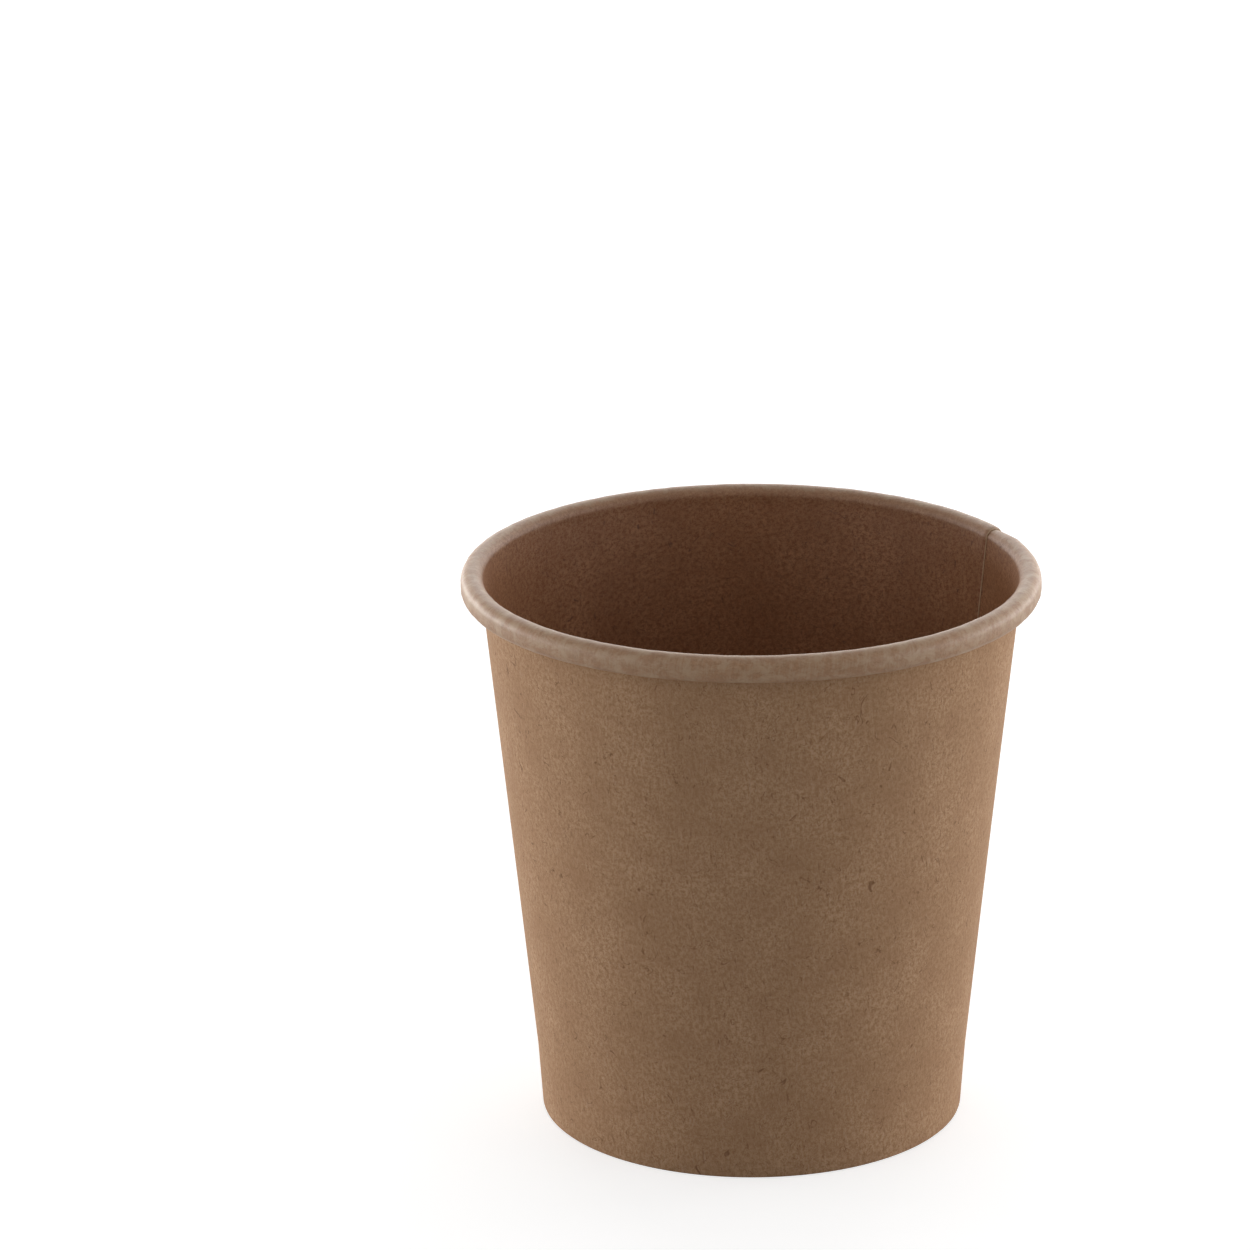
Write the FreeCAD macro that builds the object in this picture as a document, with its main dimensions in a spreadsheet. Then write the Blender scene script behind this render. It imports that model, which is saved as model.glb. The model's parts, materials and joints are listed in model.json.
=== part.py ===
"""Small single-wall kraft paper cup, made from two pieces of board.

The side wall is one fan-shaped blank, wound into a cone and sealed to itself along a lapped side
seam. Its upper edge is rolled outwards into the rim, and its lower edge is folded inwards and up
round the skirt of the floor. The floor is a round blank whose edge is pressed down into a skirt,
so that its panel sits clear of the table.

Millimetres, +Z up. The origin is the centre of the circle on which the cup stands.
"""

import FreeCAD, Part
import math
import os
from types import SimpleNamespace

import Sketcher

SIZES = [
    ("rim_diameter", 62.0, "over the rolled rim"),
    ("cup_height", 61.0, "from the table to the top of the rim"),
    ("base_diameter", 45.6, "outer face of the foot band, carried down to the table"),
    ("band_taper", 4.1, "lean of the foot band, in degrees"),
    ("band_margin", 0.5, "from the floor's upper face to the top of the foot band"),
    ("wall_board", 0.30, "thickness of the lined board of the side wall"),
    ("roll_hollow", 0.27, "radius of the hollow in the roll where the board is doubled, about"),
    ("roll_flat", 0.66, "height of the straight stretch on the roll's outer side"),
    ("tuck_gap", 0.06, "between the roll's tucked end and the wall, where both are doubled"),
    ("flap_margin", 0.9, "from the end of the folded-in flap to the underside of the floor"),
    ("seam_bearing", 26.0, "direction of the seam's inner cut edge, in degrees from +X"),
    ("lap_angle", 12.0, "how far the two ends of the blank overlap, in degrees"),
    ("ramp_angle", 8.0, "where the outer end climbs on to the inner one, in degrees"),
    ("floor_board", 0.26, "thickness of the lined board of the floor"),
    ("floor_height", 6.4, "upper face of the floor, above the table"),
    ("floor_bend", 0.3, "chamfer on the bend between the floor's panel and skirt"),
    ("seal_gap", 0.02, "film of melted lining on each side of the floor's skirt"),
    ("skirt_gap", 0.1, "between the skirt's lower edge and the doubled fold"),
]

# What follows from the sizes. A formula may use the values before it.
DERIVED = [
    ("band_height", "sizes.floor_height + sizes.band_margin"),
    ("knee_radius", "sizes.base_diameter / 2 + band_height * tan(sizes.band_taper)"),
    # The roll has room for the wall, the tuck and the hollow side by side where all is doubled.
    ("roll_radius", "sizes.roll_hollow + 3 * sizes.wall_board + sizes.tuck_gap / 2"),
    ("roll_x", "sizes.rim_diameter / 2 - roll_radius"),
    ("roll_y", "sizes.cup_height - roll_radius"),
    # The wall runs from the knee and meets the top of the roll in a tangent.
    ("roll_reach", "sqrt((roll_x - knee_radius) ^ 2 + (roll_y - band_height) ^ 2)"),
    (
        "wall_taper",
        "(atan((roll_x - knee_radius) / (roll_y - band_height))"
        " - asin((roll_radius - sizes.wall_board) / roll_reach)) / 1 deg",
    ),
    # The lower half of the roll is smaller, so that its tuck lies beside the wall.
    (
        "tuck_radius",
        "roll_radius - (sizes.tuck_gap + 2 * sizes.wall_board - sizes.roll_flat * sin(wall_taper))"
        " / (1 + cos(wall_taper))",
    ),
    ("tuck_x", "sizes.rim_diameter / 2 - tuck_radius"),
    ("tuck_y", "roll_y - sizes.roll_flat"),
    # The fold bends about its lining's corners, as far apart as the floor's skirt and its seals.
    ("lining_x", "sizes.base_diameter / 2 - sizes.wall_board / cos(sizes.band_taper)"),
    ("heel_y_single", "sizes.wall_board"),
    ("heel_y_lapped", "2 * sizes.wall_board"),
    ("heel_x_single", "lining_x + heel_y_single * tan(sizes.band_taper)"),
    ("heel_x_lapped", "lining_x + heel_y_lapped * tan(sizes.band_taper)"),
    ("foot_width", "(sizes.floor_board + 2 * sizes.seal_gap) / cos(sizes.band_taper)"),
    ("floor_underside", "sizes.floor_height - sizes.floor_board"),
    ("flap_top", "floor_underside - sizes.flap_margin"),
    ("skirt_bottom", "2 * sizes.wall_board + sizes.skirt_gap"),
    # The outer face of the skirt, carried down to the table.
    ("skirt_x", "lining_x - sizes.seal_gap / cos(sizes.band_taper)"),
]

# A bend of the board is a few straight runs, which become cones once they are turned about the
# cup's axis. A turned arc takes twenty times as many triangles as one of them.
RUNS_NEAR_LINING = {"roll": 5, "tuck": 3}
RUNS_NEAR_KRAFT = {"roll": 3, "tuck": 2}

# Layers of board between the lining and the table.
BOARDS = {"single": 1, "lapped": 2}

# The numbers by which a sketch knows a curve's points and its own axes.
START, END, CENTRE = range(1, 4)
HORIZONTAL_AXIS, VERTICAL_AXIS = range(-1, -3, -1)
ORIGIN = (HORIZONTAL_AXIS, START)
PLANE_NORMAL = FreeCAD.Vector(0, 0, 1)


def add_sizes(doc):
    """The sheet that holds every driving dimension under its own alias."""
    sheet = doc.addObject("Spreadsheet::Sheet", "sizes")
    for row, (alias, value, note) in enumerate(SIZES, start=1):
        sheet.set(f"A{row}", alias)
        sheet.set(f"B{row}", str(value))
        sheet.setAlias(f"B{row}", alias)
        sheet.set(f"C{row}", note)
    doc.recompute()
    return sheet


def add_derived(doc):
    """The radii, heights and angles that follow from the sheet and stay in step with it."""
    derived = doc.addObject("App::VarSet", "derived")
    for name, formula in DERIVED:
        derived.addProperty("App::PropertyFloat", name, "Derived")
        derived.setExpression(name, formula)
    doc.recompute()
    return derived


def new_body(doc, name):
    body = doc.addObject("PartDesign::Body", name)
    body.Label = name
    return body


def radial_sketch(body, name, bearing):
    """A sketch in the half plane through the cup's axis that faces the given bearing."""
    sketch = body.newObject("Sketcher::SketchObject", name)
    upright = next(p for p in body.Origin.OriginFeatures if p.Role == "XZ_Plane")
    sketch.AttachmentSupport = [(upright, "")]
    sketch.MapMode = "FlatFace"
    # Inside the sketch the cup's axis is Y, so the plane turns about that.
    sketch.AttachmentOffset = FreeCAD.Placement(
        FreeCAD.Vector(), FreeCAD.Rotation(FreeCAD.Vector(0, 1, 0), 1)
    )
    sketch.setExpression("AttachmentOffset.Rotation.Angle", bearing)
    return sketch


def draw_line(sketch, start, end):
    return sketch.addGeometry(Part.LineSegment(FreeCAD.Vector(*start, 0), FreeCAD.Vector(*end, 0)))


def draw_arc(sketch, centre, radius, start, end):
    """An arc that runs anticlockwise between two angles in degrees."""
    circle = Part.Circle(FreeCAD.Vector(*centre, 0), PLANE_NORMAL, radius)
    return sketch.addGeometry(Part.ArcOfCircle(circle, math.radians(start), math.radians(end)))


def tie(sketch, kind, *ends):
    sketch.addConstraint(Sketcher.Constraint(kind, *ends))


def draw_bend(sketch, centre, radius, start, end, runs):
    """Equal straight runs from end to end of a construction arc, which is returned."""
    arc = draw_arc(sketch, centre, radius, start, end)
    sketch.setConstruction(arc, True)
    step = (end - start) / runs
    corners = [polar(centre, start + step * count, radius) for count in range(runs + 1)]
    chords = [draw_line(sketch, *pair) for pair in zip(corners, corners[1:])]
    tie(sketch, "Coincident", chords[0], START, arc, START)
    tie(sketch, "Coincident", chords[-1], END, arc, END)
    for chord, following in zip(chords, chords[1:]):
        tie(sketch, "Coincident", chord, END, following, START)
        tie(sketch, "PointOnObject", following, START, arc)
        tie(sketch, "Equal", chord, following)
    return arc


def dimension(sketch, formula, kind, *ends):
    """A dimension that follows the formula. An angle's formula is in degrees."""
    value = sketch.evalExpression(formula)
    if kind == "Angle":
        value = math.radians(value)
    index = sketch.addConstraint(Sketcher.Constraint(kind, *ends, value))
    sketch.setExpression(f"Constraints[{index}]", formula)


def polar(centre, angle, distance):
    turn = math.radians(angle)
    return (centre[0] + distance * math.cos(turn), centre[1] + distance * math.sin(turn))


def at_height(point, lean, height):
    """The point at that height on a line through the given one that leans by so many degrees."""
    return (point[0] + (height - point[1]) * math.tan(math.radians(lean)), height)


def draw_upper(sketch, sheet, derived, depth, runs):
    """A face of the board from the cut end of the tuck, round the rim and down to the knee."""
    out = depth * sheet.wall_board
    lean = derived.wall_taper
    roll, tuck = (derived.roll_x, derived.roll_y), (derived.tuck_x, derived.tuck_y)
    roll_out, tuck_out = derived.roll_radius - out, derived.tuck_radius - out
    wall_top = polar(roll, 180 - lean, roll_out)
    upper = SimpleNamespace(
        tuck=draw_bend(sketch, tuck, tuck_out, 180 - lean, 360, runs["tuck"]),
        side=draw_line(sketch, polar(tuck, 0, tuck_out), polar(roll, 0, roll_out)),
        roll=draw_bend(sketch, roll, roll_out, 0, 180 - lean, runs["roll"]),
        wall=draw_line(sketch, at_height(wall_top, lean, derived.band_height), wall_top),
    )
    tie(sketch, "Tangent", upper.tuck, END, upper.side, START)
    tie(sketch, "Tangent", upper.roll, START, upper.side, END)
    tie(sketch, "Tangent", upper.roll, END, upper.wall, END)
    dimension(sketch, f"derived.roll_radius - {depth} * sizes.wall_board", "Radius", upper.roll)
    dimension(sketch, f"derived.tuck_radius - {depth} * sizes.wall_board", "Radius", upper.tuck)
    return upper


def fold_corners(sheet, derived, zone, depth):
    """Where the face under the foot would meet the band and the flap in sharp corners."""
    out = depth * sheet.wall_board
    slant = math.radians(sheet.band_taper)
    middle = getattr(derived, f"heel_x_{zone}") - out * math.tan(slant)
    floor = getattr(derived, f"heel_y_{zone}") - out
    spread = out / math.cos(slant)
    return (middle + spread, floor), (middle - derived.foot_width - spread, floor)


def draw_lower(sketch, sheet, derived, zone, depth, knee):
    """A face of the board from the knee down the band, under the foot and up the flap."""
    heel, toe = fold_corners(sheet, derived, zone, depth)
    lower = SimpleNamespace(
        band=draw_line(sketch, heel, knee),
        foot=draw_line(sketch, toe, heel),
        flap=draw_line(sketch, toe, at_height(toe, sheet.band_taper, derived.flap_top)),
    )
    tie(sketch, "Coincident", lower.foot, END, lower.band, START)
    tie(sketch, "Coincident", lower.foot, START, lower.flap, START)
    tie(sketch, "Horizontal", lower.foot)
    tie(sketch, "Parallel", lower.flap, lower.band)
    board = f"{depth} * sizes.wall_board"
    slant = "sizes.band_taper"
    dimension(
        sketch,
        f"derived.heel_x_{zone} + {board} * (1 / cos({slant}) - tan({slant}))",
        "DistanceX", *ORIGIN, lower.foot, END,
    )
    dimension(
        sketch,
        f"derived.foot_width + 2 * {board} / cos({slant})",
        "DistanceX", lower.foot, START, lower.foot, END,
    )
    if depth < BOARDS[zone]:
        dimension(
            sketch, f"derived.heel_y_{zone} - {board}", "DistanceY", *ORIGIN, lower.foot, END
        )
    else:
        tie(sketch, "PointOnObject", lower.foot, END, HORIZONTAL_AXIS)
    return lower


def draw_face(sketch, sheet, derived, zone, depth, runs):
    """One whole face of the wall's board, drawn in place and tied to itself.

    depth counts the thicknesses of board between the cup's lining and this face. The zone is
    single or lapped.
    """
    upper = draw_upper(sketch, sheet, derived, depth, runs)
    corner = sketch.getPoint(upper.wall, START)
    lower = draw_lower(sketch, sheet, derived, zone, depth, (corner.x, corner.y))
    tie(sketch, "Coincident", lower.band, END, upper.wall, START)
    return SimpleNamespace(**vars(upper), **vars(lower))


def place_face(sketch, face):
    """Hold a face by the centres of its bends, the lean of its walls and its ends."""
    dimension(sketch, "derived.roll_x", "DistanceX", *ORIGIN, face.roll, CENTRE)
    dimension(sketch, "derived.roll_y", "DistanceY", *ORIGIN, face.roll, CENTRE)
    dimension(sketch, "derived.tuck_y", "DistanceY", *ORIGIN, face.tuck, CENTRE)
    tie(sketch, "Vertical", face.side)
    dimension(sketch, "90 - derived.wall_taper", "Angle", face.wall)
    dimension(sketch, "90 - sizes.band_taper", "Angle", face.band)
    dimension(sketch, "derived.flap_top", "DistanceY", *ORIGIN, face.flap, END)


def match_face(sketch, face, other):
    """Hold a face by the centres of the other one's bends and parallel to its walls."""
    for bend in ("roll", "tuck"):
        tie(sketch, "Coincident", getattr(face, bend), CENTRE, getattr(other, bend), CENTRE)
    for run in ("wall", "band"):
        tie(sketch, "Parallel", getattr(face, run), getattr(other, run))


def close_ends(sketch, near, far):
    """The cut edges of the board: square across the tucked end, level across the flap's."""
    for run, end in (("tuck", START), ("flap", END)):
        first, second = getattr(near, run), getattr(far, run)
        points = [sketch.getPoint(curve, end) for curve in (first, second)]
        cut = draw_line(sketch, *((point.x, point.y) for point in points))
        tie(sketch, "Coincident", cut, START, first, end)
        tie(sketch, "Coincident", cut, END, second, end)
        if run == "tuck":
            tie(sketch, "Perpendicular", cut, near.wall)
            tie(sketch, "PointOnObject", near.tuck, CENTRE, cut)
        else:
            tie(sketch, "Horizontal", cut)


def board_section(body, sheet, derived, name, bearing, zone, inner, outer):
    """The wall's board cut along the bearing, between two depths counted from the lining."""
    sketch = radial_sketch(body, name, bearing)
    near = draw_face(sketch, sheet, derived, zone, inner, RUNS_NEAR_LINING)
    far = draw_face(sketch, sheet, derived, zone, outer, RUNS_NEAR_KRAFT)
    place_face(sketch, near)
    match_face(sketch, far, near)
    close_ends(sketch, near, far)
    return sketch


def revolve(body, name, sketch, angle):
    """Turn the section about the cup's axis, anticlockwise seen from above."""
    turned = body.newObject("PartDesign::Revolution", name)
    turned.Profile = sketch
    turned.ReferenceAxis = (sketch, ["V_Axis"])
    turned.setExpression("Angle", angle)
    sketch.Visibility = False
    return turned


def side_wall(doc, sheet, derived):
    """One sheet all the way round: doubled at the lap, single, then climbing on to its own start."""
    body = new_body(doc, "side_wall")
    lap = board_section(
        body, sheet, derived, "lap_section", "sizes.seam_bearing", "lapped", 0, 2
    )
    revolve(body, "lap", lap, "sizes.lap_angle")
    single = board_section(
        body, sheet, derived, "single_section", "sizes.seam_bearing + sizes.lap_angle", "single", 0, 1
    )
    revolve(body, "single", single, "360 - sizes.lap_angle - sizes.ramp_angle")
    foot = board_section(
        body, sheet, derived, "ramp_foot", "sizes.seam_bearing - sizes.ramp_angle", "single", 0, 1
    )
    head = board_section(body, sheet, derived, "ramp_head", "sizes.seam_bearing", "lapped", 1, 2)
    ramp = body.newObject("PartDesign::AdditiveLoft", "ramp")
    ramp.Profile = foot
    ramp.Sections = [head]
    ramp.Ruled = True
    return body


def bottom_disc(doc, sheet, derived):
    """The floor: a flat panel with a bend all round and a skirt that follows the foot band."""
    body = new_body(doc, "bottom_disc")
    sketch = radial_sketch(body, "floor_section", "0")
    slant = sheet.band_taper
    chamfer = sheet.floor_bend
    inset = sheet.floor_board / math.cos(math.radians(slant))
    face_foot, back_foot = (derived.skirt_x, 0), (derived.skirt_x - inset, 0)
    edge = at_height(face_foot, slant, sheet.floor_height - chamfer)
    rim = (at_height(face_foot, slant, sheet.floor_height)[0] - chamfer, sheet.floor_height)
    corner = at_height(back_foot, slant, derived.floor_underside)
    feet = [at_height(foot, slant, derived.skirt_bottom) for foot in (back_foot, face_foot)]
    outline = [(0, sheet.floor_height), (0, derived.floor_underside), corner, *feet, edge, rim]
    middle, under, back, cut, skirt, bend, panel = (
        draw_line(sketch, *ends) for ends in zip(outline, outline[1:] + outline[:1])
    )
    loop = [middle, under, back, cut, skirt, bend, panel]
    for line, following in zip(loop, loop[1:] + loop[:1]):
        tie(sketch, "Coincident", line, END, following, START)
    tie(sketch, "PointOnObject", middle, START, VERTICAL_AXIS)
    tie(sketch, "PointOnObject", middle, END, VERTICAL_AXIS)
    for line in (under, cut, panel):
        tie(sketch, "Horizontal", line)
    tie(sketch, "Parallel", back, skirt)
    dimension(sketch, "90 - sizes.band_taper", "Angle", skirt)
    dimension(sketch, "sizes.floor_height", "DistanceY", *ORIGIN, middle, START)
    dimension(sketch, "derived.floor_underside", "DistanceY", *ORIGIN, middle, END)
    dimension(sketch, "derived.skirt_bottom", "DistanceY", *ORIGIN, cut, END)
    dimension(
        sketch,
        "derived.skirt_x + derived.skirt_bottom * tan(sizes.band_taper)",
        "DistanceX", *ORIGIN, cut, END,
    )
    dimension(sketch, "sizes.floor_board", "Distance", back, END, skirt)
    dimension(sketch, "sizes.floor_bend", "DistanceY", bend, START, bend, END)
    dimension(
        sketch,
        "sizes.floor_bend * (1 + tan(sizes.band_taper))",
        "DistanceX", bend, END, bend, START,
    )
    revolve(body, "floor", sketch, "360")
    return body


def check(doc, bodies):
    """Stop if any object failed to compute or any piece is not one sound solid."""
    failed = [o.Name for o in doc.Objects if {"Invalid", "Error"} & set(o.State)]
    if failed:
        raise RuntimeError(f"failed: {', '.join(failed)}")
    for body in bodies:
        shape = body.Shape
        if shape.isNull() or not shape.isValid() or len(shape.Solids) != 1:
            raise RuntimeError(f"{body.Label} is not one valid solid")
        print(f"{body.Label}: {shape.Volume:.1f} mm3, {len(shape.Faces)} faces")


def main():
    doc = FreeCAD.newDocument("paper_coffee_cup")
    sheet = add_sizes(doc)
    derived = add_derived(doc)
    bodies = [side_wall(doc, sheet, derived), bottom_disc(doc, sheet, derived)]
    doc.recompute()
    check(doc, bodies)
    os.makedirs("parts", exist_ok=True)
    for body in bodies:
        body.Shape.exportStep(f"parts/{body.Label}.step")


main()
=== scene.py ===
import json
from math import asin, atan2, cos, hypot, pi, radians, sin, tan

import bpy
import numpy as np
from mathutils import Matrix, Vector


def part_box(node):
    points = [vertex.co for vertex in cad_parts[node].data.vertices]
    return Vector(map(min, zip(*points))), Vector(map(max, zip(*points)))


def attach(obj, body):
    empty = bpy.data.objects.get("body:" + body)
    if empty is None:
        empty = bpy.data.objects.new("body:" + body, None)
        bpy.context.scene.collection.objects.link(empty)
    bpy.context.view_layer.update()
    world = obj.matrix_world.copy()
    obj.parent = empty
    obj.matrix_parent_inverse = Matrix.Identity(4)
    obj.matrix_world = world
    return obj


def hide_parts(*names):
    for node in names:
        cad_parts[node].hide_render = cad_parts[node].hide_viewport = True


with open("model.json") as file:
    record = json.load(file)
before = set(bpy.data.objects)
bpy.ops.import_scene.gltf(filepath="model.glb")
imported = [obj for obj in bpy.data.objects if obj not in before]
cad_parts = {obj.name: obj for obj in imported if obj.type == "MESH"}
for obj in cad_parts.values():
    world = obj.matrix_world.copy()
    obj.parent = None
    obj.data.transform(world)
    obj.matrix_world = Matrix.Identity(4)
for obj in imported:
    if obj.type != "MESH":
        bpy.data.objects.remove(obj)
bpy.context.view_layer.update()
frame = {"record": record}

MM = 0.001

# Sizes in millimetres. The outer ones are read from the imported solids, and the upright stretch
# of the rim's roll from the record's mount for a lid.
rim_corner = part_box("side_wall")[1]
skirt_corner, floor_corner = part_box("bottom_disc")
mounts = {mount["name"]: mount for mount in frame["record"]["mounts"]}
RIM_RADIUS = rim_corner.x / MM
CUP_HEIGHT = rim_corner.z / MM
FLOOR_TOP = floor_corner.z / MM
SKIRT_BOTTOM = skirt_corner.z / MM
ROLL_FLAT = mounts["lid_rim"]["dims"]["length_mm"]
BASE_RADIUS = 22.8
BAND_LEAN = radians(4.1)
BAND_OVER_FLOOR = 0.5
WALL_BOARD = 0.30
FLOOR_BOARD = 0.26
FLOOR_BEND = 0.35
SEAL_GAP = 0.02
ROLL_RADIUS = 1.20
TUCK_GAP = 0.06
CREASE_RADIUS = 0.06
FLAP_UNDER_FLOOR = 0.9

# The seam, in degrees: where the inner cut edge is, how far the outer end laps over it, and how
# soon the outer layer climbs there. Then, in millimetres, what the seam's clamp has left of each
# layer in the lap, the gap between them, and how much more it has taken off at each cut edge,
# over PRESSED_ANGLE degrees.
SEAM_BEARING = 26.0
LAP_ANGLE = 12.0
RAMP_ANGLE = 8.0
LAP_BOARD = 0.20
LAYER_GAP = 0.02
PRESSED_THIN = 0.16
PRESSED_ANGLE = 1.0

# How far hand and machine have moved the board out of its true form, in millimetres, with the
# count and phase of each ripple round the cup. The dents from above are those from outside,
# turned on by DENT_TURN radians, and the pleats come in over PLEAT_FADE millimetres.
DENT_IN = 0.07
DENT_DOWN = 0.05
DENT_TURN = 1.3
DENT_RIPPLES = ((17, 0.3), (29, 1.9), (41, 4.1), (67, 2.2), (95, 0.7))
WALL_BOW = 0.10
PLEAT_DEPTH = 0.012
PLEAT_COUNT = 120
PLEAT_FADE = 2.0

# Worked out from those sizes: how high the foot band and its flap reach, the centres of the
# roll's two bends, and the lean of the wall that runs into the upper one.
BAND_HEIGHT = FLOOR_TOP + BAND_OVER_FLOOR
FLAP_TOP = FLOOR_TOP - FLOOR_BOARD - FLAP_UNDER_FLOOR
ROLL_CENTRE = (RIM_RADIUS - ROLL_RADIUS, CUP_HEIGHT - ROLL_RADIUS)
KNEE_RADIUS = BASE_RADIUS + BAND_HEIGHT * tan(BAND_LEAN)
WALL_SPREAD = ROLL_CENTRE[0] - KNEE_RADIUS
WALL_RISE = ROLL_CENTRE[1] - BAND_HEIGHT
TANGENT_LEAN = asin((ROLL_RADIUS - WALL_BOARD) / hypot(WALL_SPREAD, WALL_RISE))
WALL_LEAN = atan2(WALL_SPREAD, WALL_RISE) - TANGENT_LEAN
TUCK_RADIUS = ROLL_RADIUS - (
    (TUCK_GAP + 2 * WALL_BOARD - ROLL_FLAT * sin(WALL_LEAN)) / (1 + cos(WALL_LEAN))
)
TUCK_CENTRE = (RIM_RADIUS - TUCK_RADIUS, ROLL_CENTRE[1] - ROLL_FLAT)
LINING_X = BASE_RADIUS - WALL_BOARD / cos(BAND_LEAN)

# Rows of points in each stretch of one face of the wall's board, from tucked end to flap.
ROWS = {
    "tuck": 15, "side": 1, "roll": 17, "wall": 12, "knee": 1,
    "band": 2, "heel": 4, "toe": 4, "flap": 3, "end": 1,
}

# Columns of points along the sheet. Those at a cut edge lie at shares of its pressed strip, and
# the even ones between them start a little past it.
COLUMNS = 720
EDGE_SHARES = np.array([0.0, 0.27, 0.6, 1.0])
EVEN_FROM = 1.6

# Faces that meet at more than this keep a sharp edge between them.
SHARP_ANGLE = radians(50)

# How far the map of a blank's bare side lies beside that of its lined side, in millimetres.
WALL_MAP_GAP = 500.0
FLOOR_MAP_GAP = 200.0


def smooth_step(t):
    """0 to 1 as t goes from 0 to 1, level at both ends: t squared times 3 less 2t."""
    t = np.clip(t, 0.0, 1.0)
    return t * t * (3 - 2 * t)


def arc(centre, radius, start, end, count):
    """Points on a circle, from angle start to angle end: centre + radius (cos a, sin a)."""
    a = np.linspace(start, end, count)[:, None]
    return centre[0] + radius * np.cos(a), centre[1] + radius * np.sin(a)


def run(first, last, count, crowd=1.0):
    """Points on the straight line strictly between two ends.

    Their share of the way is an even one to the power crowd, so over 1 they crowd to the first.
    """
    t = np.linspace(0, 1, count + 2)[1:-1, None] ** crowd
    return first[0] + (last[0] - first[0]) * t, first[1] + (last[1] - first[1]) * t


def wave(angle, count, phase):
    """A ripple that fits round the cup a whole number of times: sin(count angle + phase)."""
    return np.sin(angle * count + phase)


def board_face(depth, lift):
    """Radius and height of one face of the wall's board, a row for each point of its section.

    depth is the distance from the lining's first layer to this face, and lift the height of the
    crease centres under the foot, both an array over the sheet's columns. The section runs from
    the tucked end, round the roll and down the wall, to the end of the flap. Every bend is an arc
    about its own centre, with the radius of the lining's bend plus or less the depth.
    """
    heel_centre = (LINING_X + lift * tan(BAND_LEAN) - CREASE_RADIUS / cos(BAND_LEAN), lift)
    foot_width = (FLOOR_BOARD + 2 * SEAL_GAP - 2 * CREASE_RADIUS) / cos(BAND_LEAN)
    toe_centre = (heel_centre[0] - foot_width, lift)
    tuck = arc(TUCK_CENTRE, TUCK_RADIUS - depth, pi - WALL_LEAN, 2 * pi, ROWS["tuck"])
    roll = arc(ROLL_CENTRE, ROLL_RADIUS - depth, 0, pi - WALL_LEAN, ROWS["roll"])
    side = run([c[-1] for c in tuck], [c[0] for c in roll], ROWS["side"])
    top = [c[-1] for c in roll]
    knee = (top[0] - (top[1] - BAND_HEIGHT) * tan(WALL_LEAN), np.full_like(top[1], BAND_HEIGHT))
    wall = run(top, knee, ROWS["wall"], 2.0)
    heel = arc(heel_centre, CREASE_RADIUS + depth, -BAND_LEAN, -pi / 2, ROWS["heel"])
    band = run(knee, [c[0] for c in heel], ROWS["band"])
    toe = arc(toe_centre, CREASE_RADIUS + depth, 1.5 * pi, pi - BAND_LEAN, ROWS["toe"])
    foot = [c[-1] for c in toe]
    end = (foot[0] + (FLAP_TOP - foot[1]) * tan(BAND_LEAN), np.full_like(foot[1], FLAP_TOP))
    flap = run(foot, end, ROWS["flap"])
    knee, end = ([c[None, :] for c in row] for row in (knee, end))
    stretches = (tuck, side, roll, wall, knee, band, heel, toe, flap, end)
    return [np.concatenate([s[axis] for s in stretches]) for axis in (0, 1)]


def rows_before(stretch):
    """How many rows of a face come before a stretch of it."""
    names = list(ROWS)
    return sum(ROWS[name] for name in names[:names.index(stretch)])


def rim_dents(angle):
    """How far the roll is pressed in at a bearing, 0 to 1: a half plus half the ripples' mean."""
    total = sum(wave(angle, count, phase) for count, phase in DENT_RIPPLES)
    return 0.5 + 0.5 * total / len(DENT_RIPPLES)


def wall_lobes(angle):
    """How far the wall is bowed in at a bearing, 0 to 1: a half plus two broad ripples."""
    return 0.5 + 0.3 * wave(angle, 3, 0.4) + 0.2 * wave(angle, 7, 2.0)


def sheet_angles():
    """The sheet angle v of each column in degrees: even, but close together at the cut edges."""
    total = 360 + LAP_ANGLE
    at_edge = PRESSED_ANGLE * EDGE_SHARES
    first = PRESSED_ANGLE * EVEN_FROM
    inside = np.linspace(first, total - first, COLUMNS - 2 * len(at_edge))
    return np.concatenate([at_edge, inside, total - at_edge[::-1]])


def wall_sheet(v):
    """Bearings, radii and heights of the wound wall: rows round the section, columns along v.

    v runs from the inner cut edge once round the cup and on over the lap. The lining's depth is 0,
    and climbs by one pressed layer and the gap on the ramp before the lap. The board is pressed
    thinner where it is doubled, and each cut edge once more, on the side that shows. The roll is
    dented, and the wall bowed in by a half sine over its height.
    """
    bearing = np.radians(SEAM_BEARING + v)
    climb = smooth_step((v - (360 - RAMP_ANGLE)) / RAMP_ANGLE)
    settle = 1 - smooth_step((v - LAP_ANGLE) / RAMP_ANGLE)
    inner_press = PRESSED_THIN * (1 - smooth_step(v / PRESSED_ANGLE))
    outer_press = PRESSED_THIN * (1 - smooth_step((v[-1] - v) / PRESSED_ANGLE))
    doubled = np.maximum(climb, settle)
    thickness = WALL_BOARD - (WALL_BOARD - LAP_BOARD) * doubled
    depth = climb * (LAP_BOARD + LAYER_GAP)
    lift = CREASE_RADIUS + thickness + (LAP_BOARD + LAYER_GAP) * doubled
    lining = board_face(depth + inner_press, lift)
    outside = board_face(depth + thickness - outer_press, lift)
    radius, height = (np.concatenate([a, b[::-1]]) for a, b in zip(lining, outside))

    rolled = np.arange(len(radius) // 2) < rows_before("wall")
    rolled = np.concatenate([rolled, rolled[::-1]])[:, None]
    radius = radius - DENT_IN * rim_dents(bearing) * rolled
    height = height - DENT_DOWN * rim_dents(bearing + DENT_TURN) * rolled
    bow = np.sin(pi * np.clip((height - BAND_HEIGHT) / WALL_RISE, 0, 1))
    return bearing, radius - WALL_BOW * bow * wall_lobes(bearing), height


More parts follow.
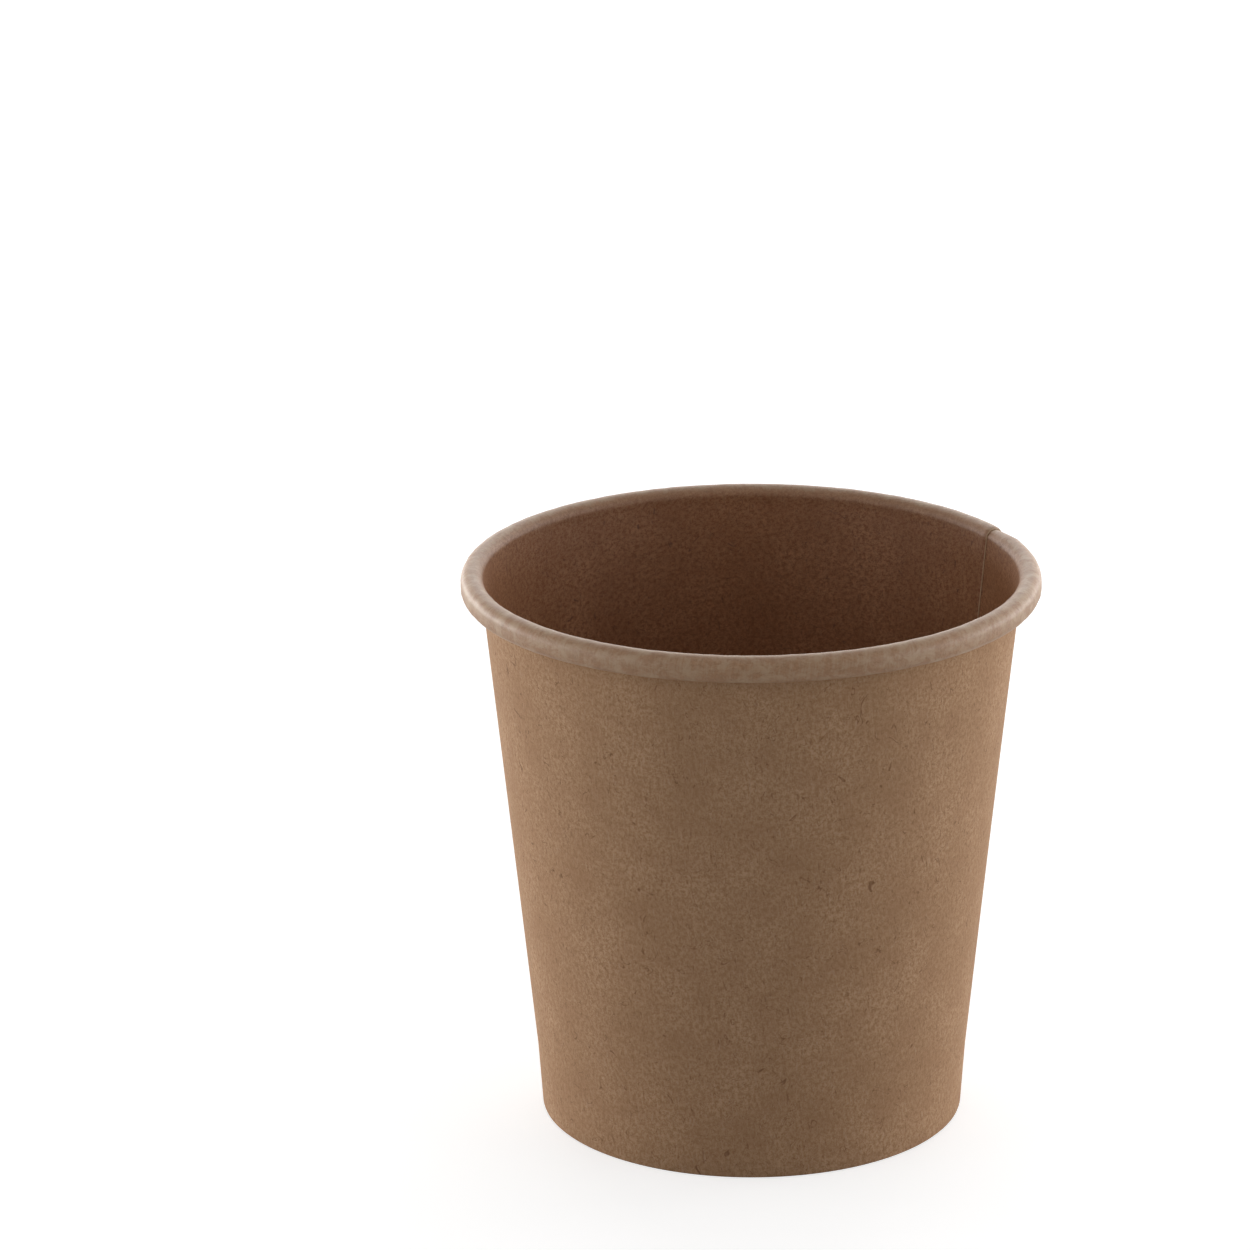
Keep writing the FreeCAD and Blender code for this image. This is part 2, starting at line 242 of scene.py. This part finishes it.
def build_mesh(name, points, faces, uvs, face_material, materials, rolled):
    """A mesh object from whole arrays in millimetres, with the board's cut edges kept sharp.

    uvs, the map "blank", is the place on the flat blank, and the attribute "rolled" is 1 where
    the board is rolled into the rim and 0 where it is flat.
    """
    mesh = bpy.data.meshes.new(name)
    mesh.from_pydata(points * MM, [], faces)
    layer = mesh.uv_layers.new(name="blank")
    loop_vertices = np.empty(len(mesh.loops), dtype=np.int32)
    mesh.loops.foreach_get("vertex_index", loop_vertices)
    layer.data.foreach_set("uv", uvs[loop_vertices].astype(np.float32).ravel())
    for material in materials:
        mesh.materials.append(material)
    mesh.polygons.foreach_set("material_index", np.asarray(face_material, dtype=np.int32))
    mesh.polygons.foreach_set("use_smooth", np.ones(len(mesh.polygons), dtype=bool))
    mesh.set_sharp_from_angle(angle=SHARP_ANGLE)
    attribute = mesh.attributes.new("rolled", "FLOAT", "POINT")
    attribute.data.foreach_set("value", rolled.astype(np.float32))
    mesh.update()
    mesh.validate()
    piece = bpy.data.objects.new(name, mesh)
    bpy.context.scene.collection.objects.link(piece)
    return piece


def along_section(radius, height):
    """Length of a section up to each of its points: the sum of the straight steps before it."""
    return np.concatenate([[0], np.cumsum(np.hypot(np.diff(radius), np.diff(height)))])


# Places in a piece's list of materials.
LINED, BARE, CUT = range(3)


def cup_wall(materials):
    """The side wall as one closed sheet of board.

    The texture map is the flat blank itself, in millimetres: a point at slant distance s from
    the cone's tip and sheet angle v lies at (s sin f, s cos f), where f is v less its middle
    value, times the sine of the wall's lean. The outside's map lies beside the lining's.
    """
    v = sheet_angles()
    bearing, radius, height = wall_sheet(v)
    rows, columns = radius.shape
    half = rows // 2
    points = np.stack([radius * np.cos(bearing), radius * np.sin(bearing), height], axis=-1)

    length = along_section(radius[:half, columns // 2], height[:half, columns // 2])
    slant = KNEE_RADIUS / sin(WALL_LEAN) + length[rows_before("knee")] - length
    slant = np.concatenate([slant, slant[::-1]])[:, None]
    fan = np.radians(v - v.mean()) * sin(WALL_LEAN)
    uvs = np.stack([slant * np.sin(fan), slant * np.cos(fan)], axis=-1)
    uvs[half:] += (WALL_MAP_GAP, 0.0)

    i = np.arange(rows)[:, None]
    j = np.arange(columns - 1)
    here, beyond = i * columns + j, (i + 1) % rows * columns + j
    faces = np.stack([here, here + 1, beyond + 1, beyond], axis=-1).reshape(-1, 4)
    kind = np.full((rows, columns - 1), BARE)
    kind[:half] = LINED
    kind[[half - 1, rows - 1]] = CUT
    kind[:half, 0] = CUT
    kind[half:, -1] = CUT

    inner = np.arange(half - 1)
    outer = rows - 1 - inner
    last_end = np.stack([inner, outer, outer - 1, inner + 1], axis=-1) * columns + columns - 1
    first_end = last_end[:, ::-1] - (columns - 1)
    faces = np.concatenate([faces, first_end, last_end])
    kind = np.concatenate([kind.ravel(), np.full(2 * (half - 1), CUT)])

    # The film's stretch fades from a little before the end of the roll to a little past it.
    fade_start, fade_length = -1.5, 2.1
    past_roll = length - length[rows_before("wall") - 1]
    rolled = 1 - smooth_step((past_roll - fade_start) / fade_length)
    rolled = np.repeat(np.concatenate([rolled, rolled[::-1]]), columns)
    uvs = uvs.reshape(-1, 2)
    return build_mesh(
        "cup_wall", points.reshape(-1, 3), faces.tolist(), uvs, kind, materials, rolled
    )


def cup_base(materials):
    """The floor as one closed sheet turned about the cup's axis, with pleats in its skirt.

    The section runs from the middle of the panel out over the bend, down the skirt, and back up
    its inner side to the middle of the underside. The panel's rings lie at even shares of its
    radius to the power panel_crowd, so they crowd to its edge. The pleats are a sine ripple in
    the radius. The texture map is the round blank seen flat, the underside's beside the lining's.
    """
    columns = 360
    panel_rows, bend_rows, skirt_rows = 10, 7, 4
    panel_crowd = 0.8
    turn = np.linspace(0, 2 * pi, columns, endpoint=False)
    skirt_x = LINING_X - SEAL_GAP / cos(BAND_LEAN)
    bend_y = FLOOR_TOP - FLOOR_BOARD - FLOOR_BEND
    bend_x = skirt_x + bend_y * tan(BAND_LEAN) - (FLOOR_BOARD + FLOOR_BEND) / cos(BAND_LEAN)
    bend_centre = (bend_x, bend_y)
    outer = arc(bend_centre, FLOOR_BEND + FLOOR_BOARD, pi / 2, -BAND_LEAN, bend_rows)
    inner = arc(bend_centre, FLOOR_BEND, -BAND_LEAN, pi / 2, bend_rows)
    panel_r = np.linspace(0, 1, panel_rows + 2)[1:-1, None] ** panel_crowd * bend_x
    panel = (panel_r, np.full_like(panel_r, FLOOR_TOP))
    under = (panel_r[::-1], np.full_like(panel_r, FLOOR_TOP - FLOOR_BOARD))
    foot_y = np.array([[SKIRT_BOTTOM]])
    outer_foot = (outer[0][-1:] - (outer[1][-1:] - foot_y) * tan(BAND_LEAN), foot_y)
    inner_foot = (inner[0][:1] - (inner[1][:1] - foot_y) * tan(BAND_LEAN), foot_y)
    outer_skirt = run([c[-1] for c in outer], [c[0] for c in outer_foot], skirt_rows)
    inner_skirt = run([c[0] for c in inner_foot], [c[0] for c in inner], skirt_rows)
    stretches = (panel, outer, outer_skirt, outer_foot, inner_foot, inner_skirt, inner, under)
    radius, height = (np.concatenate([s[axis] for s in stretches]) for axis in (0, 1))
    rows = len(radius)
    foot_row = panel_rows + bend_rows + skirt_rows

    length = along_section(radius[:, 0], height[:, 0]) + radius[0, 0]
    on_skirt = smooth_step((bend_y + FLOOR_BEND - height) / PLEAT_FADE)
    radius = radius - PLEAT_DEPTH * on_skirt * (1 + wave(turn, PLEAT_COUNT, 0))
    height = np.broadcast_to(height, radius.shape)
    points = np.stack([radius * np.cos(turn), radius * np.sin(turn), height], axis=-1)
    hubs = [[0, 0, FLOOR_TOP], [0, 0, FLOOR_TOP - FLOOR_BOARD]]
    points = np.concatenate([points.reshape(-1, 3), hubs])

    i = np.arange(rows - 1)[:, None]
    j = np.arange(columns)
    k = (j + 1) % columns
    here, beyond = i * columns, (i + 1) * columns
    quads = np.stack([here + j, beyond + j, beyond + k, here + k], axis=-1).reshape(-1, 4)
    top_hub, under_hub = rows * columns, rows * columns + 1
    last_row = (rows - 1) * columns
    top_fan = np.stack([np.full(columns, top_hub), j, k], axis=-1)
    under_fan = np.stack([np.full(columns, under_hub), last_row + k, last_row + j], axis=-1)
    kind = np.full((rows - 1, columns), BARE)
    kind[:foot_row] = LINED
    kind[foot_row] = CUT
    kind = np.concatenate([kind.ravel(), np.full(columns, LINED), np.full(columns, BARE)])

    folded_back = 2 * length[foot_row] - length + FLOOR_BOARD
    flat = np.where(np.arange(rows) <= foot_row, length, folded_back)[:, None]
    uvs = np.stack([flat * np.cos(turn), flat * np.sin(turn)], axis=-1)
    uvs[foot_row + 1:] += (FLOOR_MAP_GAP, 0.0)
    uvs = np.concatenate([uvs.reshape(-1, 2), [[0, 0], [FLOOR_MAP_GAP, 0]]])
    faces = quads.tolist() + top_fan.tolist() + under_fan.tolist()
    return build_mesh("cup_base", points, faces, uvs, kind, materials, np.zeros(len(points)))


def linear(colour):
    """sRGB hex to the linear values that shaders take."""
    values = [int(colour[i:i + 2], 16) / 255 for i in (1, 3, 5)]
    return tuple(c / 12.92 if c <= 0.04045 else ((c + 0.055) / 1.055) ** 2.4 for c in values) + (1.0,)


def add(tree, kind, inputs=None, out=0, **settings):
    """Add a node and return one of its outputs.

    settings are the node's own properties. inputs are keyed by a socket's name or number, and
    each is a plain value or the output that it is linked from.
    """
    made = tree.nodes.new(kind)
    for key, value in settings.items():
        setattr(made, key, value)
    for key, value in (inputs or {}).items():
        if isinstance(value, bpy.types.NodeSocket):
            tree.links.new(value, made.inputs[key])
        else:
            made.inputs[key].default_value = value
    return made.outputs[out] if made.outputs else None


def clouds(tree, across, along, detail=2.0, roughness=0.5, distortion=0.0):
    """Noise on the flat blank, its features so many millimetres across and along."""
    place = add(tree, "ShaderNodeUVMap", uv_map="blank")
    scaled = add(tree, "ShaderNodeMapping", {"Vector": place, "Scale": (1 / across, 1 / along, 1)})
    settings = {"Scale": 1.0, "Detail": detail, "Roughness": roughness, "Distortion": distortion}
    noise = {"Vector": scaled, **settings}
    return add(tree, "ShaderNodeTexNoise", noise, "Fac", noise_dimensions="2D")


def lay(tree, base, colour, field, low, high, most):
    """Lay a colour over the base, from none of it where the field is low to most where it is high."""
    limits = {"Value": field, "From Min": low, "From Max": high, "To Max": most}
    amount = add(tree, "ShaderNodeMapRange", limits)
    layers = {0: amount, 6: base, 7: linear(colour)}
    return add(tree, "ShaderNodeMix", layers, 2, data_type="RGBA")


def fibres(tree, across, along, bend, width, keep):
    """Thin curved fibres, 1 on them and 0 between.

    They are the lines on which a cloudy field has its middle value, within width of it, in pieces
    where a second, slightly finer field is over keep.
    """
    field = clouds(tree, across, along, 1.0, 0.5, bend)
    off = add(tree, "ShaderNodeMath", {0: field, 1: 0.5}, operation="SUBTRACT")
    away = add(tree, "ShaderNodeMath", {0: off}, operation="ABSOLUTE")
    fall = {"Value": away, "From Max": width, "To Min": 1.0, "To Max": 0.0}
    line = add(tree, "ShaderNodeMapRange", fall)
    gaps = clouds(tree, across * 0.9, along * 0.6, 0.0)
    fade = 0.06
    ends = {"Value": gaps, "From Min": keep, "From Max": keep + fade}
    pieces = add(tree, "ShaderNodeMapRange", ends)
    return add(tree, "ShaderNodeMath", {0: line, 1: pieces}, operation="MULTIPLY")


# The board's pattern, in millimetres on the blank. Clouds of colour have their reach across and
# along and how finely they break up, then the field's values where the colour starts and where
# it is full, and the most of it. The matted felt and the specks are clouds too. Fibres have the
# reach of their curves across and along, how they bend, their half width and where they break
# off, both on the field, and the most of their colour. Real fibres are 0.03 mm wide. These are
# drawn about twice as wide, because finer ones would not show.
PULP_CLOUDS = (
    ("shade", (7.0, 9.0, 3.0), (0.30, 0.70, 0.50)),
    ("red", (4.0, 3.0, 1.0), (0.45, 0.70, 0.35)),
)
FELT_FINENESS = (5.0, 0.9)
FELT_SHADE = (0.41, 0.59, 1.0)
FIBRES = (
    ("pale", (0.50, 2.2, 0.3, 0.030, 0.50), 0.30),
    ("pale", (1.3, 1.6, 1.2, 0.014, 0.52), 0.30),
    ("dark", (0.45, 1.8, 0.3, 0.022, 0.54), 0.50),
    ("dark", (2.2, 2.8, 1.6, 0.012, 0.55), 0.75),
)
SPECK_SIZE = (0.5, 0.9, 1.0)
SPECK_SHADE = (0.80, 0.88, 0.40)

# The film where the roll has stretched it: its patches and wrinkles, what a wrinkle adds to a
# patch, the most of the plain tint, and the range and most of the palest one.
FILM_PATCHES = (2.0, 1.6, 4.0, 0.7, 0.3)
FILM_WRINKLES = (0.30, 2.5, 2.0, 0.6)
WRINKLE_SHARE = 0.25
FILM_TINT_MOST = 0.65
FILM_PALE_SHADE = (0.52, 0.78, 0.70)

# The relief: what a fibre and a film's wrinkle add to the felt, and its full height.
FIBRE_RELIEF = 0.5
WRINKLE_RELIEF = 2.0
RELIEF_HEIGHT = 0.03


def board_material(name, colours, grain, relief, roughness, specular, film=None):
    """Unbleached kraft board, with all its pattern on the flat blank in millimetres.

    colours are the plain pulp, the shade of its thicker places, its redder places, a pale fibre
    and a dark fibre. grain is how far the matted fibres reach across and along. film is the tint
    of a lining where the roll has stretched it and of its palest patches, with wrinkles across.
    """
    material = bpy.data.materials.new(name)
    material.use_nodes = True
    tree = material.node_tree
    tree.nodes.clear()
    base = linear(colours["plain"])
    for tint, size, share in PULP_CLOUDS:
        base = lay(tree, base, colours[tint], clouds(tree, *size), *share)
    felt = clouds(tree, *grain, *FELT_FINENESS)
    base = lay(tree, base, colours["shade"], felt, *FELT_SHADE)
    lines = [fibres(tree, *course) for _, course, _ in FIBRES]
    for line, (tint, _, most) in zip(lines, FIBRES):
        base = lay(tree, base, colours[tint], line, 0.0, 1.0, most)
    base = lay(tree, base, colours["dark"], clouds(tree, *SPECK_SIZE), *SPECK_SHADE)
    raised = {0: lines[0], 1: FIBRE_RELIEF, 2: felt}
    heights = add(tree, "ShaderNodeMath", raised, operation="MULTIPLY_ADD")
    if film:
        tint, palest = film
        rolled = add(tree, "ShaderNodeAttribute", out="Fac", attribute_name="rolled")
        patches = clouds(tree, *FILM_PATCHES)
        wrinkles = clouds(tree, *FILM_WRINKLES)
        both = {0: wrinkles, 1: WRINKLE_SHARE, 2: patches}
        mixed = add(tree, "ShaderNodeMath", both, operation="MULTIPLY_ADD")
        stretched = add(tree, "ShaderNodeMath", {0: mixed, 1: rolled}, operation="MULTIPLY")
        base = lay(tree, base, tint, rolled, 0.0, 1.0, FILM_TINT_MOST)
        base = lay(tree, base, palest, stretched, *FILM_PALE_SHADE)
        drawn = add(tree, "ShaderNodeMath", {0: wrinkles, 1: rolled}, operation="MULTIPLY")
        raised = {0: drawn, 1: WRINKLE_RELIEF, 2: heights}
        heights = add(tree, "ShaderNodeMath", raised, operation="MULTIPLY_ADD")
    bump = {"Height": heights, "Strength": relief, "Distance": RELIEF_HEIGHT * MM}
    surface = {
        "Base Color": base,
        "Roughness": roughness,
        "Specular IOR Level": specular,
        "Normal": add(tree, "ShaderNodeBump", bump),
    }
    shader = add(tree, "ShaderNodeBsdfPrincipled", surface)
    add(tree, "ShaderNodeOutputMaterial", {"Surface": shader})
    return material


# Unbleached kraft board, bare as it comes from the paper machine. The eye gets a matt brown with
# no gloss, a felted grain, clouds where the pulp lay thicker, and single pale and dark fibres.
kraft = board_material(
    "uncoated_kraft_board",
    {"plain": "#B18F70", "shade": "#927052", "red": "#957054", "pale": "#B2947A", "dark": "#684831"},
    grain=(0.45, 0.55), relief=0.45, roughness=0.85, specular=0.20,
)
# The same board under a clear film of polyethylene melted onto it. The film wets the fibres, so
# the brown is deeper, and gives a satin sheen. Rolled into the rim it is stretched and turns pale.
lined = board_material(
    "film_lined_kraft_board",
    {"plain": "#AA7C5A", "shade": "#774A29", "red": "#8F6041", "pale": "#AC8464", "dark": "#553420"},
    grain=(0.55, 0.40), relief=0.35, roughness=0.50, specular=0.42, film=("#8F7155", "#A58C71"),
)
# The board's cut edge, where the die has opened its fibres: the roughest part of it and the palest.
# Its pale colour is raised past the raw edge's own as a painted highlight, so that the cut edges show
# as a light line.
cut = board_material(
    "cut_board_edge_with_painted_highlight",
    {"plain": "#C4A88C", "shade": "#B2957A", "red": "#BE9D80", "pale": "#D6BDA3", "dark": "#8F6F54"},
    grain=(0.6, 0.6), relief=0.30, roughness=0.95, specular=0.10,
)

wall = cup_wall([lined, kraft, cut])
base = cup_base([lined, kraft, cut])
for piece, solid, slot in ((wall, "side_wall", "wall_board"), (base, "bottom_disc", "floor_board")):
    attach(piece, "root")
    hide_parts(solid)


# The studio: half the side of the sheet under the cup in metres, its colour, and the glow that it
# has where seen_straight is 1. Then the world's strength as a light, and where that is 1.
SHEET_HALF = 3.0
SHEET_COLOUR = "#C4C4C4"
SHEET_GLOW = 0.68
WORLD_LIGHT = 0.04
WORLD_SEEN = 1.0

# Large soft lights at the cup's sides, behind it and over it, and weaker ones at its front: each
# one's name, place, height aimed at, width and height in metres, and power in watts. Four are
# strips near the table. The light of the two behind skims the rim without reaching down inside,
# and the two at the sides lie lower than the rim, so that they reach only the outside.
SOFTBOXES = (
    ("left_side", (-0.90, 0.0, 0.15), 0.03, 0.9, 0.9, 2.65),
    ("left_low", (-0.90, 0.0, 0.03), 0.03, 1.2, 0.05, 3.0),
    ("left_strip", (-0.70, 0.60, 0.08), 0.04, 0.9, 0.15, 5.1),
    ("left_front", (-0.70, -0.60, 0.30), 0.03, 0.9, 0.9, 1.75),
    ("right_side", (0.90, 0.0, 0.15), 0.03, 0.9, 0.9, 3.8),
    ("right_low", (0.90, 0.0, 0.03), 0.03, 1.2, 0.05, 3.1),
    ("right_strip", (0.70, 0.60, 0.08), 0.04, 0.9, 0.15, 2.4),
    ("right_back", (0.70, 0.60, 0.30), 0.03, 0.9, 0.9, 2.8),
    ("right_front", (0.70, -0.60, 0.30), 0.03, 0.9, 0.9, 1.25),
    ("backdrop", (0.0, 0.90, 0.50), 0.03, 0.9, 0.9, 5.2),
    ("overhead", (0.0, 0.0, 1.0), 0.0, 0.9, 0.9, 2.0),
)

# The camera's place in metres, its tilt up from straight down, its roll in radians, and its lens
# and sensor in millimetres, solved from the cup's outline in the photograph.
CAMERA_PLACE = (-0.013469, -0.671707, 0.27820)
CAMERA_TILT = radians(71.58)
CAMERA_ROLL = -0.0077
CAMERA_LENS = 190.7
CAMERA_SENSOR = 36.0


def seen_straight(tree):
    """1 for what the camera sees itself, in a reflection or through glass, else 0."""
    seen = add(tree, "ShaderNodeLightPath", out="Is Camera Ray")
    for ray in ("Is Glossy Ray", "Is Transmission Ray"):
        other = add(tree, "ShaderNodeLightPath", out=ray)
        seen = add(tree, "ShaderNodeMath", {0: seen, 1: other}, operation="MAXIMUM")
    return seen


def studio_floor():
    """A wide pale sheet under the cup that shows the camera a white ground with its shadow."""
    mesh = bpy.data.meshes.new("floor")
    signs = ((-1, -1), (1, -1), (1, 1), (-1, 1))
    corners = [(SHEET_HALF * x, SHEET_HALF * y, 0) for x, y in signs]
    mesh.from_pydata(corners, [], [(0, 1, 2, 3)])
    floor = bpy.data.objects.new("floor", mesh)
    bpy.context.scene.collection.objects.link(floor)
    material = bpy.data.materials.new("pale_paper_backdrop")
    material.use_nodes = True
    tree = material.node_tree
    tree.nodes.clear()
    plain = add(tree, "ShaderNodeBsdfDiffuse", {"Color": linear(SHEET_COLOUR)})
    glow = add(tree, "ShaderNodeEmission", {"Strength": SHEET_GLOW})
    both = add(tree, "ShaderNodeAddShader", {0: plain, 1: glow})
    pick = add(tree, "ShaderNodeMixShader", {0: seen_straight(tree), 1: plain, 2: both})
    add(tree, "ShaderNodeOutputMaterial", {"Surface": pick})
    mesh.materials.append(material)
    return floor


def softbox(name, place, aim_height, width, height, power):
    """An area light of that size in metres, turned to face the cup and hidden from the camera."""
    data = bpy.data.lights.new(name, "AREA")
    data.shape = "RECTANGLE"
    data.size = width
    data.size_y = height
    data.energy = power
    light = bpy.data.objects.new(name, data)
    light.location = place
    facing = Vector((0, 0, aim_height)) - Vector(place)
    light.rotation_euler = facing.to_track_quat("-Z", "Y").to_euler()
    light.visible_camera = False
    bpy.context.scene.collection.objects.link(light)


def studio_world():
    """A white surrounding that hardly lights the cup and that the camera sees at full strength."""
    world = bpy.data.worlds.new("studio")
    bpy.context.scene.world = world
    world.use_nodes = True
    tree = world.node_tree
    tree.nodes.clear()
    levels = {"Value": seen_straight(tree), "To Min": WORLD_LIGHT, "To Max": WORLD_SEEN}
    strength = add(tree, "ShaderNodeMapRange", levels)
    sky = {"Color": linear("#FFFFFF"), "Strength": strength}
    add(tree, "ShaderNodeOutputWorld", {"Surface": add(tree, "ShaderNodeBackground", sky)})


def photograph_camera():
    """The camera at the photograph's viewing angle, rolled about its own line of sight."""
    data = bpy.data.cameras.new("camera")
    data.sensor_width = CAMERA_SENSOR
    data.lens = CAMERA_LENS
    camera = bpy.data.objects.new("camera", data)
    turn = Matrix.Rotation(CAMERA_TILT, 4, "X") @ Matrix.Rotation(CAMERA_ROLL, 4, "Z")
    camera.matrix_world = Matrix.Translation(CAMERA_PLACE) @ turn
    bpy.context.scene.collection.objects.link(camera)
    bpy.context.scene.camera = camera


studio_floor()
for settings in SOFTBOXES:
    softbox(*settings)
studio_world()
photograph_camera()
bpy.context.scene.view_settings.view_transform = "Standard"
